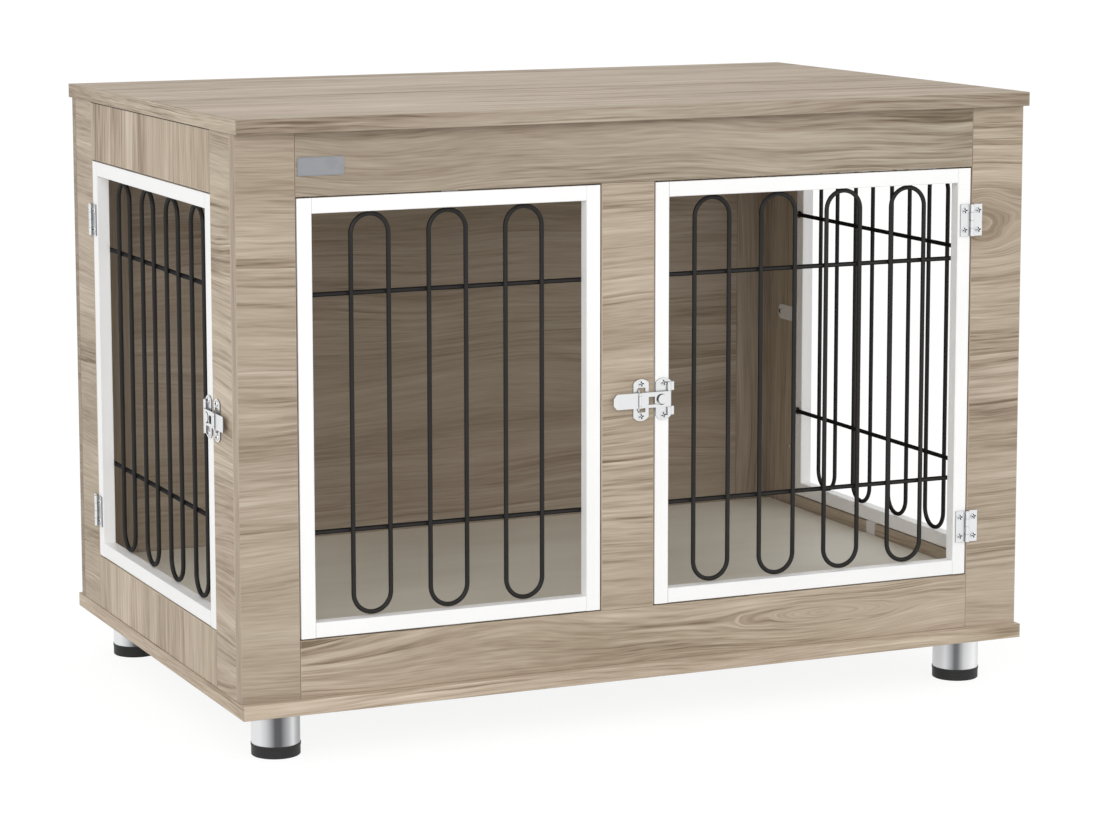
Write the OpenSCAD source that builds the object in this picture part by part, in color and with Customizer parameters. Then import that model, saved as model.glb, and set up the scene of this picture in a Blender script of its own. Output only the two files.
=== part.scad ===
// Furniture-style pet crate: a laminated carcass on four tube legs, with a barred door in the
// front, a barred door in the left side and a fixed barred window in the front and right side.
// Millimetres. The origin is on the ground under the middle of the top, and the front faces -Y.

/* [Boards] */
// Width of the top and base boards
board_w = 900; // [820:5:1200]
// Depth of the top and base boards
board_d = 580; // [480:5:760]
// Height from the ground to the upper face of the top
overall_h = 650; // [560:5:820]
// Thickness of the top and base boards
slab_t = 15; // [12:1:25]
// Thickness of the front and side boards
panel_t = 15; // [13:1:22]
// Thickness of the back panel
back_t = 12; // [6:1:18]
// Reach of the top and base boards past each side of the carcass
side_overhang = 1; // [0:0.5:10]
// Reach of the top and base boards past the front and back of the carcass
front_overhang = 10; // [8:1:30]
// Chamfer on the long edges of every board and bar
edge_ease = 0.6; // [0.2:0.1:1.5]

/* [Openings] */
// Width of the posts at the two front corners
front_post_w = 63; // [50:1:80]
// Width of the opening of the front window
window_open_w = 333; // [240:1:360]
// Width of the stile between the front window and the front door
center_stile_w = 60; // [50:1:80]
// Width of the posts at both ends of a side
side_post_w = 61; // [50:1:80]
// Height of the rails under the openings
bottom_rail_h = 59; // [50:1:80]
// Height of the rails over the openings
top_rail_h = 64; // [50:1:80]

/* [Frames] */
// Gap between a frame and the boards around it
frame_gap = 1.5; // [1.4:0.1:2.5]
// Face width of the frame bars
bar_w = 15.5; // [14:0.5:20]
// Depth of the frame bars
bar_d = 14; // [13:0.5:16]

/* [Grilles] */
// Diameter of the wire
wire_dia = 4.8; // [3.5:0.1:5.2]
// Outer width of one wire loop
loop_w = 45.2; // [30:0.2:56]
// Space between the ends of the loops and the frame bars
loop_end_gap = 1; // [0.5:0.25:8]
// Extra space beside the outer loops of the front window
window_row_in = 4; // [0:0.5:8]
// Number of loops in the front window
window_loops = 3; // [2:1:4]
// Number of loops in the front door
door_loops = 4; // [2:1:5]
// Number of loops in each side frame
side_loops = 4; // [2:1:5]
// Height of the lower cross wire above the lower edge of the frame
low_wire_up = 104.5; // [60:0.5:120]
// Drop of the upper cross wire below the upper edge of the frame
high_wire_down = 98.5; // [60:0.5:120]
// Depth to which a cross wire is welded into the loops
weld_sink = 0.4; // [0.2:0.1:0.8]
// Diameter of the flattened eyelets at the ends of the cross wires
eyelet_dia = 8; // [7:0.5:10]
// Thickness of the eyelets
eyelet_t = 2.4; // [1.5:0.1:3]

/* [Floor] */
// Thickness of the floor panel
floor_t = 12; // [6:1:18]
// Height of the bearers under the floor panel
bearer_h = 34; // [20:1:38]
// Width of the bearers
bearer_w = 20; // [12:1:40]
// Space between the boards and the bearers
bearer_gap = 6; // [4:0.5:20]
// Gap between the floor panel and the walls
floor_gap = 2.6; // [2.5:0.1:6]

/* [Window brackets] */
// Width of a bracket
bracket_w = 18; // [12:0.5:18.5]
// Length of the leg on the board
bracket_leg = 42; // [26:1:44]
// Length of the leg in the gap beside the frame
bracket_turn = 12; // [8:0.5:14]
// Thickness of a bracket
bracket_t = 1.2; // [0.8:0.1:1.3]
// Radius of the rounded end of a bracket
bracket_end_r = 9.4; // [9.4:0.2:20]
// Distance from the rounded end to the screw
bracket_screw_in = 5.5; // [5:0.5:12]
// Distance of the right window's upper and lower brackets behind the middle of the opening
side_bracket_shift = 12; // [-60:1:60]

/* [Hinges] */
// Height of a hinge
hinge_h = 34.5; // [29:0.5:60]
// Width of an open hinge
hinge_w = 26.5; // [26:0.5:32]
// Thickness of the hinge leaves
leaf_t = 1.2; // [0.8:0.1:1.5]
// Outer diameter of the hinge barrel
barrel_dia = 4.8; // [4.4:0.1:5.4]
// Diameter of the hinge pin
hinge_pin_dia = 2.6; // [2:0.1:2.8]
// Distance from the hinge axis to the screws
hinge_screw_out = 8.5; // [7.5:0.25:9.5]
// Distance from the middle of a hinge up or down to a screw
hinge_screw_up = 10.5; // [8.5:0.5:12]
// Rise of the front door's lower hinge above the lower edge of its opening
front_hinge_rise = 54; // [25:0.5:80]
// Drop of the front door's upper hinge below the upper edge of its opening
front_hinge_drop = 57.5; // [25:0.5:80]
// Rise of the side door's lower hinge above the lower edge of its opening
side_hinge_rise = 52; // [25:0.5:80]
// Drop of the side door's upper hinge below the upper edge of its opening
side_hinge_drop = 66.5; // [25:0.5:80]

/* [Latches] */
// Height of the middle of the latches above the base board
latch_up = 278.6; // [220:0.5:340]
// Distance from the edge of the door to the pin of the flap
flap_pin_in = 14.7; // [14:0.1:17]
// Thickness of the latch's sheet metal
sheet_t = 1.2; // [0.8:0.1:1.4]
// Height of the door plate and the keeper
plate_h = 44; // [42:0.2:60]
// Width of the door plate and the keeper
plate_w = 17.6; // [15:0.1:18.5]
// Radius of the rounded ends of the door plate and the keeper
plate_end_r = 11.4; // [10:0.2:20]
// Distance from the middle of the latch up or down to a screw
plate_screw_up = 17.1; // [15.5:0.1:18]
// Outer diameter of the flap's barrel
flap_barrel_dia = 4.4; // [4:0.1:5]
// Diameter of the flap's pin
flap_pin_dia = 2.2; // [1.8:0.1:2.4]
// Height of the door plate's two ears, with their knuckles
plate_ear_h = 9; // [5:0.2:10]
// Reach of the ears past the flap's pin
plate_ear_past = 6.3; // [2.6:0.1:8]
// Height of the flap and the lever
flap_h = 16.2; // [15.8:0.2:17]
// Distance from the flap's pin to the lever's pin
flap_len = 34.4; // [33:0.1:38]
// Distance from the lever's pin to its tip
lever_len = 31; // [24:0.2:34]
// Length of the lever's bent tip
lever_tip_len = 5; // [3:0.5:8]
// Rise of the lever's bent tip
lever_tip_rise = 1.6; // [0.5:0.1:3]
// Chamfer on the corners of the lever's tip
lever_corner = 4.5; // [2:0.5:6]
// Outer diameter of the lever's barrel
lever_barrel_dia = 3.2; // [3:0.1:3.8]
// Diameter of the lever's pin
lever_pin_dia = 1.6; // [1.2:0.1:1.8]
// Height of the flap's knuckle on the lever's pin
flap_knuckle_h = 10; // [8:0.5:11]
// Width and height of the window in the keeper
keeper_window_w = 8.9; // [6:0.1:9.5]
keeper_window_h = 25.9; // [24:0.1:27]
// Strip of the keeper beyond its window
keeper_rim = 4.8; // [4:0.1:7]
// Height of the tongue that stands at the window's edge
tongue_h = 22; // [12:0.5:24]
// Distance of the tongue's far face past the lever's pin
tongue_past = 1.3; // [0.6:0.1:2]

/* [Legs] */
// Height of a leg with its foot
leg_h = 50; // [40:1:120]
// Outer diameter of the leg tube
leg_dia = 50; // [38:1:60]
// Wall of the leg tube
leg_wall = 1.5; // [1:0.1:3]
// Thickness of the disc that closes the tube at the top
leg_disc_t = 3; // [2:0.5:5]
// Distance from the side edges of the base board to the middle of a leg
leg_in_side = 51; // [40:1:120]
// Distance from the front and back edges of the base board to the middle of a leg
leg_in_front = 51; // [40:1:120]
// Height of the foot that shows below the tube
foot_h = 12.4; // [6:0.2:16]
// Step of the foot past the tube all round
foot_step = 0.6; // [0.2:0.1:2]
// Height of the rim round the top of the foot
foot_rim_h = 2.6; // [1:0.1:5]
// Step of the rim past the foot's side
foot_rim_step = 0.4; // [0.1:0.1:1]
// Chamfer on the foot's lower edge
foot_ease = 0.6; // [0.2:0.1:1.5]
// Height of the foot's spigot inside the tube
spigot_h = 10; // [6:0.5:14]
// Diameter of the bolt through the leg's disc
leg_bolt_dia = 8; // [6:0.5:10]
// Length of the bolt inside the base board
leg_bolt_grip = 10; // [7:0.5:11]
// Width across the flats and height of the bolt's head
leg_bolt_head_w = 13; // [11:0.5:17]
leg_bolt_head_h = 5.3; // [4:0.1:7]

/* [Screws] */
// Diameter of the screws
screw_dia = 2.8; // [2.2:0.1:3]
// Length of the screws under the head
screw_len = 11; // [8:0.5:12]
// Length of the screws of the eyelets under the head
eyelet_screw_len = 9; // [6:0.5:10]
// Diameter of the screw heads on the hinges, latches and brackets
screw_head_dia = 6.8; // [5:0.1:6.8]
// Diameter of the screw heads on the eyelets
eyelet_head_dia = 5.4; // [4.6:0.1:6]
// Height of the screw heads
screw_head_h = 1.1; // [0.8:0.1:1.2]

/* [Clearances] */
// Radial clearance between a pin and the knuckle that turns on it
running_fit = 0.05; // [0.02:0.01:0.09]
// Radial clearance of fixed pins, bolts and screws in their holes
fixed_fit = 0.02; // [0.01:0.01:0.09]
// Clearance between neighbouring knuckles, under the flap and beside a screw's head
part_gap = 0.3; // [0.2:0.05:0.5]
// Clearance between a cross wire and the back of the frame
wire_seat_gap = 0.1; // [0.05:0.05:0.3]

/* [Hidden] */

$fn = 48;
// Excess of a cutting shape past the face that it cuts
cut_over = 1;
laminate = [0.72, 0.66, 0.58];
frame_white = [0.95, 0.95, 0.94];
wire_black = [0.16, 0.15, 0.16];
nickel = [0.82, 0.82, 0.83];
steel = [0.66, 0.66, 0.67];
foot_black = [0.14, 0.14, 0.14];
floor_grey = [0.68, 0.66, 0.6];

carcass_w = board_w - 2 * side_overhang;
carcass_d = board_d - 2 * front_overhang;
carcass_z = leg_h + slab_t;
carcass_h = overall_h - slab_t - carcass_z;
side_wall_d = carcass_d - panel_t - back_t;

// Openings, all of one height
open_h = carcass_h - bottom_rail_h - top_rail_h;
front_door_x = front_post_w + window_open_w + center_stile_w;
door_open_w = carcass_w - front_post_w - front_door_x;
side_open_w = side_wall_d - 2 * side_post_w;

// From the edge of an opening to the inner face of its frame
frame_in = frame_gap + bar_w;

// Grilles: depths of the wires behind the face of the frame, and the place of the eyelets
cross_wire_depth = bar_d + wire_dia / 2 + wire_seat_gap;
loop_depth = cross_wire_depth - wire_dia + weld_sink;
eyelet_in = frame_gap + bar_w / 2;

// Hinges, whose axis stands in front of the middle of the gap
front_hinge_x = front_door_x + door_open_w - frame_gap / 2;
side_hinge_x = back_t + side_post_w + frame_gap / 2;
front_hinge_heights = hinge_heights(front_hinge_rise, front_hinge_drop);
side_hinge_heights = hinge_heights(side_hinge_rise, side_hinge_drop);
hinge_axis_out = barrel_dia / 2 + part_gap;
knuckle_pitch = hinge_h / 4;

// Latches, whose flap lies over the door plate and the keeper
// Room that the flap's barrel needs around its pin. The plate's screws stand right beside it.
barrel_room = flap_barrel_dia / 2 + part_gap;
plate_screw_at = barrel_room + screw_head_dia / 2;
flap_axis_out = barrel_room;
flap_out = flap_axis_out + flap_barrel_dia / 2 - sheet_t;
lever_axis_out = flap_out + lever_barrel_dia / 2;
tongue_out = flap_out - part_gap;
keeper_far = flap_len + tongue_past + keeper_rim;
keeper_mid = keeper_far - plate_w / 2;
plate_mid = flap_pin_in - plate_w / 2;
plate_ear_from = flap_h / 2 + part_gap;
// Room that a sheet leaves around the neighbouring knuckle on the lever's pin
lever_root = lever_barrel_dia / 2 + 1.5 * part_gap;
// Slot, slit and crescent cut in the flap: their places along and up, and their sizes. The
// crescent is left between two circles.
flap_slot = [17.5, -4.2, 7, 7.6];
flap_slit = [11.7, -4.9, 13.3, 0.8];
crescent_at = 9.9;
crescent_r = 6;
crescent_inner_at = 8.1;
crescent_inner_r = 5;

bracket_play = (frame_gap - bracket_t) / 2;

// Board with its four long edges eased. The long way is x, y or z.
module board(size, long) {
    profile = long == "x" ? [size.y, size.z] : long == "y" ? [size.x, size.z] : [size.x, size.y];
    if (long == "x")
        rotate([90, 0, 90]) linear_extrude(size.x) eased_profile(profile);
    else if (long == "y")
        translate([0, size.y, 0]) rotate([90, 0, 0]) linear_extrude(size.y) eased_profile(profile);
    else
        linear_extrude(size.z) eased_profile(profile);
}

module eased_profile(size) {
    e = edge_ease;
    polygon([
        [e, 0], [size.x - e, 0], [size.x, e], [size.x, size.y - e],
        [size.x - e, size.y], [e, size.y], [0, size.y - e], [0, e]
    ]);
}

// Places on the walls: x runs along the wall, y into the crate and z up from the base board.
// Seen from outside, x starts at the left-hand end.
module on_front() {
    translate([-carcass_w / 2, -carcass_d / 2, carcass_z]) children();
}

module on_left() {
    translate([-carcass_w / 2, carcass_d / 2, carcass_z]) rotate([0, 0, -90]) children();
}

module on_right() {
    translate([carcass_w / 2, -carcass_d / 2, carcass_z]) rotate([0, 0, 90]) children();
}

// Places at the lower left corner of each opening
module at_front_window() {
    on_front() translate([front_post_w, 0, bottom_rail_h]) children();
}

module at_front_door() {
    on_front() translate([front_door_x, 0, bottom_rail_h]) children();
}

module at_side_door() {
    on_left() translate([back_t + side_post_w, 0, bottom_rail_h]) children();
}

module at_right_window() {
    on_right() translate([panel_t + side_post_w, 0, bottom_rail_h]) children();
}

// Places on the face of the wall at a door's hinge axis, with x towards its latch
module at_front_hinges() {
    on_front() translate([front_hinge_x, 0, 0]) mirror([1, 0, 0]) children();
}

module at_side_hinges() {
    on_left() translate([side_hinge_x, 0, 0]) children();
}

// Place on the face at the flap's pin, with x towards the lever's tip
module at_latch(open_w) {
    latch_edge = open_w - 1.5 * frame_gap;
    translate([latch_edge - flap_pin_in, 0, latch_up]) children();
}

// Extrusions of drawings made in x and z, standing out from the face, and in x and out
module sheet(t) {
    rotate([90, 0, 0]) linear_extrude(t) children();
}

module sill(h) {
    mirror([0, 1, 0]) linear_extrude(h, center = true) children();
}

// Screw with a low domed head, whose seat is at z = 0
module screw(length, head_dia) {
    r = head_dia / 2;
    rotate_extrude() polygon([
        [0, -length], [screw_dia / 2, -length], [screw_dia / 2, 0], [r, 0],
        [r, screw_head_h * 0.4], [r * 0.6, screw_head_h], [0, screw_head_h]
    ]);
}

module fixing_screw() {
    screw(screw_len, screw_head_dia);
}

module eyelet_screw() {
    screw(eyelet_screw_len, eyelet_head_dia);
}

module screw_hole(length) {
    translate([0, 0, -length - cut_over])
        cylinder(h = length + 2 * cut_over, d = screw_dia + 2 * fixed_fit);
}

// Seats of the screws, with z out of the seat
module at_hinge_screws(heights, side) {
    for (middle = heights, up = [-1, 1])
        translate([side * hinge_screw_out, -leaf_t, middle + up * hinge_screw_up])
            rotate([90, 0, 0]) children();
}

module at_plate_screws(open_w, along) {
    at_latch(open_w) for (up = [-1, 1])
        translate([along, -sheet_t, up * plate_screw_up]) rotate([90, 0, 0]) children();
}

module at_brackets(open_w, shift = 0) {
    middle = open_w / 2 + shift;
    translate([0, 0, open_h / 2]) children();
    translate([open_w, 0, open_h / 2]) mirror([1, 0, 0]) children();
    translate([middle, 0, 0]) rotate([0, -90, 0]) children();
    translate([middle, 0, open_h]) rotate([0, 90, 0]) children();
}

module at_bracket_screws(open_w, shift = 0) {
    at_brackets(open_w, shift)
        translate([bracket_play + bracket_t - bracket_leg + bracket_screw_in, panel_t + bracket_t, 0])
            rotate([-90, 0, 0]) children();
}

module at_eyelets(open_w) {
    for (x = [eyelet_in, open_w - eyelet_in], z = cross_wire_heights())
        translate([x, bar_d, z]) rotate([-90, 0, 0]) children();
}

module at_eyelet_screws(open_w) {
    at_eyelets(open_w) translate([0, 0, eyelet_t]) children();
}

// Heights of a frame's cross wires above its opening, and of a door's hinges above the base board
function cross_wire_heights() =
    [frame_gap + low_wire_up, open_h - frame_gap - high_wire_down];
function hinge_heights(rise, drop) =
    [bottom_rail_h + rise, bottom_rail_h + open_h - drop];

// Top, base and back
module top_board() {
    color(laminate) translate([-board_w / 2, -board_d / 2, overall_h - slab_t])
        board([board_w, board_d, slab_t], "x");
}

module base_board() {
    color(laminate) difference() {
        translate([-board_w / 2, -board_d / 2, leg_h]) board([board_w, board_d, slab_t], "x");
        at_legs() translate([0, 0, leg_h - cut_over])
            cylinder(h = leg_bolt_grip + 2 * cut_over, d = leg_bolt_dia + 2 * fixed_fit);
    }
}

module back_panel() {
    color(laminate) on_front() translate([0, carcass_d - back_t, 0])
        board([carcass_w, back_t, carcass_h], "x");
}

// Floor panel on two bearers
module floor_panel() {
    color(floor_grey) on_front() translate([panel_t + floor_gap, panel_t + floor_gap, bearer_h])
        board([carcass_w - 2 * (panel_t + floor_gap), side_wall_d - 2 * floor_gap, floor_t], "x");
}

module floor_bearers() {
    bearer = [carcass_w - 2 * (panel_t + bearer_gap), bearer_w, bearer_h];
    color(laminate) on_front()
        for (y = [panel_t + bearer_gap, carcass_d - back_t - bearer_gap - bearer_w])
            translate([panel_t + bearer_gap, y, 0]) board(bearer, "x");
}

// Front boards
module front_left_post() {
    color(laminate) difference() {
        on_front() board([front_post_w, panel_t, carcass_h], "z");
        at_front_window() at_bracket_screws(window_open_w) screw_hole(screw_len);
    }
}

module front_right_post() {
    color(laminate) difference() {
        on_front() translate([carcass_w - front_post_w, 0, 0])
            board([front_post_w, panel_t, carcass_h], "z");
        at_front_hinges() at_hinge_screws(front_hinge_heights, -1) screw_hole(screw_len);
    }
}

module front_center_stile() {
    color(laminate) difference() {
        on_front() translate([front_post_w + window_open_w, 0, bottom_rail_h])
            board([center_stile_w, panel_t, open_h], "z");
        at_front_window() at_bracket_screws(window_open_w) screw_hole(screw_len);
        at_front_hinges() at_plate_screws(door_open_w, keeper_mid) screw_hole(screw_len);
    }
}

module front_top_rail() {
    color(laminate) difference() {
        on_front() translate([front_post_w, 0, carcass_h - top_rail_h])
            board([carcass_w - 2 * front_post_w, panel_t, top_rail_h], "x");
        at_front_window() at_bracket_screws(window_open_w) screw_hole(screw_len);
    }
}

module front_bottom_rail() {
    color(laminate) difference() {
        on_front() translate([front_post_w, 0, 0])
            board([carcass_w - 2 * front_post_w, panel_t, bottom_rail_h], "x");
        at_front_window() at_bracket_screws(window_open_w) screw_hole(screw_len);
    }
}

// Side boards, drawn on the left or the right wall from its left-hand end
module side_post() {
    board([side_post_w, panel_t, carcass_h], "z");
}

module side_rail(h) {
    board([side_open_w, panel_t, h], "x");
}

module left_front_post() {
    color(laminate) difference() {
        on_left() translate([carcass_d - panel_t - side_post_w, 0, 0]) side_post();
        at_side_hinges() at_plate_screws(side_open_w, keeper_mid) screw_hole(screw_len);
    }
}

module left_rear_post() {
    color(laminate) difference() {
        on_left() translate([back_t, 0, 0]) side_post();
        at_side_hinges() at_hinge_screws(side_hinge_heights, -1) screw_hole(screw_len);
    }
}

module left_top_rail() {
    color(laminate) on_left() translate([back_t + side_post_w, 0, carcass_h - top_rail_h])
        side_rail(top_rail_h);
}

module left_bottom_rail() {
    color(laminate) on_left() translate([back_t + side_post_w, 0, 0]) side_rail(bottom_rail_h);
}

module right_board(x, z) {
    color(laminate) difference() {
        on_right() translate([x, 0, z]) children();
        at_right_window() at_bracket_screws(side_open_w, side_bracket_shift) screw_hole(screw_len);
    }
}

module right_front_post() {
    right_board(panel_t, 0) side_post();
}

module right_rear_post() {
    right_board(carcass_d - back_t - side_post_w, 0) side_post();
}

module right_top_rail() {
    right_board(panel_t + side_post_w, carcass_h - top_rail_h) side_rail(top_rail_h);
}

module right_bottom_rail() {
    right_board(panel_t + side_post_w, 0) side_rail(bottom_rail_h);
}

// Frames: upright stiles over the full height, rails between them
module stiles(open_w) {
    for (x = [frame_gap, open_w - frame_in])
        translate([x, 0, frame_gap]) board([bar_w, bar_d, open_h - 2 * frame_gap], "z");
}

module rails(open_w) {
    for (z = [frame_gap, open_h - frame_in])
        translate([frame_in, 0, z]) board([open_w - 2 * frame_in, bar_d, bar_w], "x");
}

module drilled_stiles(open_w) {
    color(frame_white) difference() {
        stiles(open_w);
        at_eyelet_screws(open_w) screw_hole(eyelet_screw_len);
    }
}

module front_window_stiles() {
    at_front_window() drilled_stiles(window_open_w);
}

module front_window_rails() {
    color(frame_white) at_front_window() rails(window_open_w);
}

module right_window_stiles() {
    at_right_window() drilled_stiles(side_open_w);
}

module right_window_rails() {
    color(frame_white) at_right_window() rails(side_open_w);
}

module front_door_stiles() {
    color(frame_white) difference() {
        at_front_door() drilled_stiles(door_open_w);
        at_front_hinges() at_hinge_screws(front_hinge_heights, 1) screw_hole(screw_len);
        at_front_hinges() at_plate_screws(door_open_w, plate_screw_at) screw_hole(screw_len);
    }
}

module front_door_rails() {
    color(frame_white) at_front_door() rails(door_open_w);
}

module side_door_stiles() {
    color(frame_white) difference() {
        at_side_door() drilled_stiles(side_open_w);
        at_side_hinges() at_hinge_screws(side_hinge_heights, 1) screw_hole(screw_len);
        at_side_hinges() at_plate_screws(side_open_w, plate_screw_at) screw_hole(screw_len);
    }
}

module side_door_rails() {
    color(frame_white) at_side_door() rails(side_open_w);
}

// Grille: a row of closed wire loops, welded in front of two cross wires that lie behind the
// frame and end in flattened eyelets
module grille(open_w, loops, row_in = 0) {
    row_from = frame_in + row_in;
    space = (open_w - 2 * row_from - loops * loop_w) / (loops + 1);
    color(wire_black) union() {
        for (i = [0 : loops - 1])
            translate([row_from + space + i * (loop_w + space) + loop_w / 2, loop_depth, 0])
                wire_loop();
        for (z = cross_wire_heights()) translate([0, 0, z]) cross_wire(open_w);
        difference() {
            at_eyelets(open_w) cylinder(h = eyelet_t, d = eyelet_dia);
            at_eyelet_screws(open_w) screw_hole(eyelet_screw_len);
        }
    }
}

module wire_loop() {
    bend_r = (loop_w - wire_dia) / 2;
    low = frame_in + loop_end_gap + loop_w / 2;
    high = open_h - low;
    for (x = [-bend_r, bend_r]) translate([x, 0, low]) cylinder(h = high - low, d = wire_dia);
    translate([0, 0, high]) rotate([90, 0, 0]) wire_arc(bend_r);
    translate([0, 0, low]) rotate([90, 180, 0]) wire_arc(bend_r);
}

// Cross wire, which stops short of the screw heads in its eyelets
module cross_wire(open_w) {
    from_x = eyelet_in + eyelet_head_dia / 2 + part_gap;
    translate([from_x, cross_wire_depth, 0]) rotate([0, 90, 0])
        cylinder(h = open_w - 2 * from_x, d = wire_dia);
}

module wire_arc(bend_r) {
    rotate_extrude(angle = 180) translate([bend_r, 0]) circle(d = wire_dia);
}

module front_window_grille() {
    at_front_window() grille(window_open_w, window_loops, window_row_in);
}

module right_window_grille() {
    at_right_window() grille(side_open_w, side_loops);
}

module front_door_grille() {
    at_front_door() grille(door_open_w, door_loops);
}

module side_door_grille() {
    at_side_door() grille(side_open_w, side_loops);
}

// Angle bracket behind the edge of a window's opening, with its turn in the gap
module bracket() {
    edge = bracket_play + bracket_t;
    color(nickel) {
        translate([0, panel_t + bracket_t, 0]) sheet(bracket_t) intersection() {
            translate([edge - bracket_leg, -bracket_w / 2]) square([bracket_leg, bracket_w]);
            union() {
                translate([edge - bracket_leg + bracket_end_r, 0]) circle(bracket_end_r);
                translate([edge - bracket_leg + bracket_end_r, -bracket_w / 2])
                    square([bracket_leg, bracket_w]);
            }
        }
        translate([bracket_play, panel_t + bracket_t - bracket_turn, -bracket_w / 2])
            cube([bracket_t, bracket_turn, bracket_w]);
    }
}

module brackets(open_w, shift = 0) {
    difference() {
        at_brackets(open_w, shift) bracket();
        at_bracket_screws(open_w, shift) screw_hole(screw_len);
    }
}

module front_window_brackets() {
    color(nickel) at_front_window() brackets(window_open_w);
}

module right_window_brackets() {
    color(nickel) at_right_window() brackets(side_open_w, side_bracket_shift);
}

// Butt hinge leaf on the x side of the axis, with its knuckles at two of the four levels
module hinge_leaf(levels, bore) {
    r = barrel_dia / 2;
    leaf_from = r + 2 * part_gap;
    color(nickel) difference() {
        union() {
            translate([leaf_from, -leaf_t, -hinge_h / 2])
                cube([hinge_w / 2 - leaf_from, leaf_t, hinge_h]);
            for (level = levels)
                translate([0, 0, (level - 1.5) * knuckle_pitch]) sill(knuckle_pitch - part_gap) {
                    translate([0, hinge_axis_out]) circle(r);
                    translate([r / 3, 0]) square([leaf_from - r / 3 + leaf_t, leaf_t]);
                    translate([r / 3, 0]) square([r * 2 / 3, hinge_axis_out]);
                }
        }
        translate([0, -hinge_axis_out, -hinge_h / 2 - cut_over])
            cylinder(h = hinge_h + 2 * cut_over, d = bore);
    }
}

module hinge_leaves(heights, side) {
    fit = side > 0 ? running_fit : fixed_fit;
    levels = side > 0 ? [0, 2] : [1, 3];
    color(nickel) difference() {
        for (middle = heights) translate([0, 0, middle])
            mirror([side > 0 ? 0 : 1, 0, 0]) hinge_leaf(levels, hinge_pin_dia + 2 * fit);
        at_hinge_screws(heights, side) screw_hole(screw_len);
    }
}

module hinge_pins(heights) {
    color(steel) for (middle = heights)
        translate([0, -hinge_axis_out, middle - hinge_h / 2]) cylinder(h = hinge_h, d = hinge_pin_dia);
}

module front_hinge_post_leaves() {
    at_front_hinges() hinge_leaves(front_hinge_heights, -1);
}

module front_hinge_door_leaves() {
    at_front_hinges() hinge_leaves(front_hinge_heights, 1);
}

module front_hinge_pins() {
    at_front_hinges() hinge_pins(front_hinge_heights);
}

module side_hinge_post_leaves() {
    at_side_hinges() hinge_leaves(side_hinge_heights, -1);
}

module side_hinge_door_leaves() {
    at_side_hinges() hinge_leaves(side_hinge_heights, 1);
}

module side_hinge_pins() {
    at_side_hinges() hinge_pins(side_hinge_heights);
}

// Outline of a latch plate with arched ends, centred
module plate_outline() {
    arch = plate_end_r - sqrt(plate_end_r ^ 2 - (plate_w / 2) ^ 2);
    square([plate_w, plate_h - 2 * arch], center = true);
    for (up = [-1, 1]) intersection() {
        translate([0, up * (plate_h / 2 - plate_end_r)]) circle(plate_end_r);
        translate([0, up * plate_h / 4]) square([plate_w, plate_h / 2], center = true);
    }
}

// Keeper: a plate with a window and a tongue that stands out at the window's far edge
module latch_keeper(open_w) {
    window_far = flap_len + tongue_past;
    color(nickel) difference() {
        at_latch(open_w) {
            sheet(sheet_t) difference() {
                translate([keeper_mid, 0]) plate_outline();
                translate([window_far - keeper_window_w, -keeper_window_h / 2])
                    square([keeper_window_w, keeper_window_h]);
            }
            sill(tongue_h) translate([window_far - sheet_t, 0]) square([sheet_t, tongue_out]);
            sill(tongue_h) translate([window_far - sheet_t, 0]) square([2 * sheet_t, sheet_t]);
        }
        at_plate_screws(open_w, keeper_mid) screw_hole(screw_len);
    }
}

// Door plate: a plate with two ears that carry the flap's pin, cut away under the flap's barrel
module latch_plate(open_w) {
    color(nickel) difference() {
        at_latch(open_w) {
            sheet(sheet_t) difference() {
                translate([plate_mid, 0]) plate_outline();
                translate([plate_mid - plate_w / 2 - cut_over, -plate_ear_from])
                    square([barrel_room - plate_mid + plate_w / 2 + cut_over, 2 * plate_ear_from]);
            }
            for (up = [-1, 1])
                translate([0, 0, up * (plate_ear_from + plate_ear_h / 2)]) sill(plate_ear_h) {
                    translate([0, flap_axis_out]) circle(d = flap_barrel_dia);
                    translate([-flap_barrel_dia / 2, 0]) square([flap_barrel_dia, flap_axis_out]);
                    translate([-plate_ear_past, 0]) square([plate_ear_past + plate_mid, sheet_t]);
                }
        }
        at_plate_screws(open_w, plate_screw_at) screw_hole(screw_len);
        at_latch(open_w) pin_hole(flap_axis_out, 0, flap_pin_dia + 2 * fixed_fit);
    }
}

// Hole of a pin through the whole latch
module pin_hole(out, along, bore) {
    translate([along, -out, 0]) cylinder(h = plate_h, d = bore, center = true);
}

module latch_flap_pin(open_w) {
    length = 2 * (plate_ear_from + plate_ear_h);
    color(steel) at_latch(open_w) translate([0, -flap_axis_out, 0])
        cylinder(h = length, d = flap_pin_dia, center = true);
}

// Flap: rolled round its pin, with a slot, a crescent cut and a knuckle for the lever's pin
module latch_flap(open_w) {
    color(nickel) at_latch(open_w) difference() {
        union() {
            sill(flap_h) {
                translate([0, flap_axis_out]) circle(d = flap_barrel_dia);
                translate([0, flap_out]) square([flap_len - lever_root, sheet_t]);
            }
            sill(flap_knuckle_h) {
                translate([flap_len, lever_axis_out]) circle(d = lever_barrel_dia);
                translate([flap_len / 2, flap_out]) square([flap_len / 2, sheet_t]);
            }
        }
        translate([0, -flap_out + cut_over, 0]) sheet(sheet_t + 2 * cut_over) flap_cuts();
        pin_hole(flap_axis_out, 0, flap_pin_dia + 2 * running_fit);
        pin_hole(lever_axis_out, flap_len, lever_pin_dia + 2 * fixed_fit);
    }
}

module flap_cuts() {
    translate([flap_slot[0], flap_slot[1]]) square([flap_slot[2], flap_slot[3]]);
    translate([flap_slit[0], flap_slit[1]]) square([flap_slit[2], flap_slit[3]]);
    difference() {
        translate([crescent_at, 0]) circle(crescent_r);
        translate([crescent_inner_at, 0]) circle(crescent_inner_r);
    }
}

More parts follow.
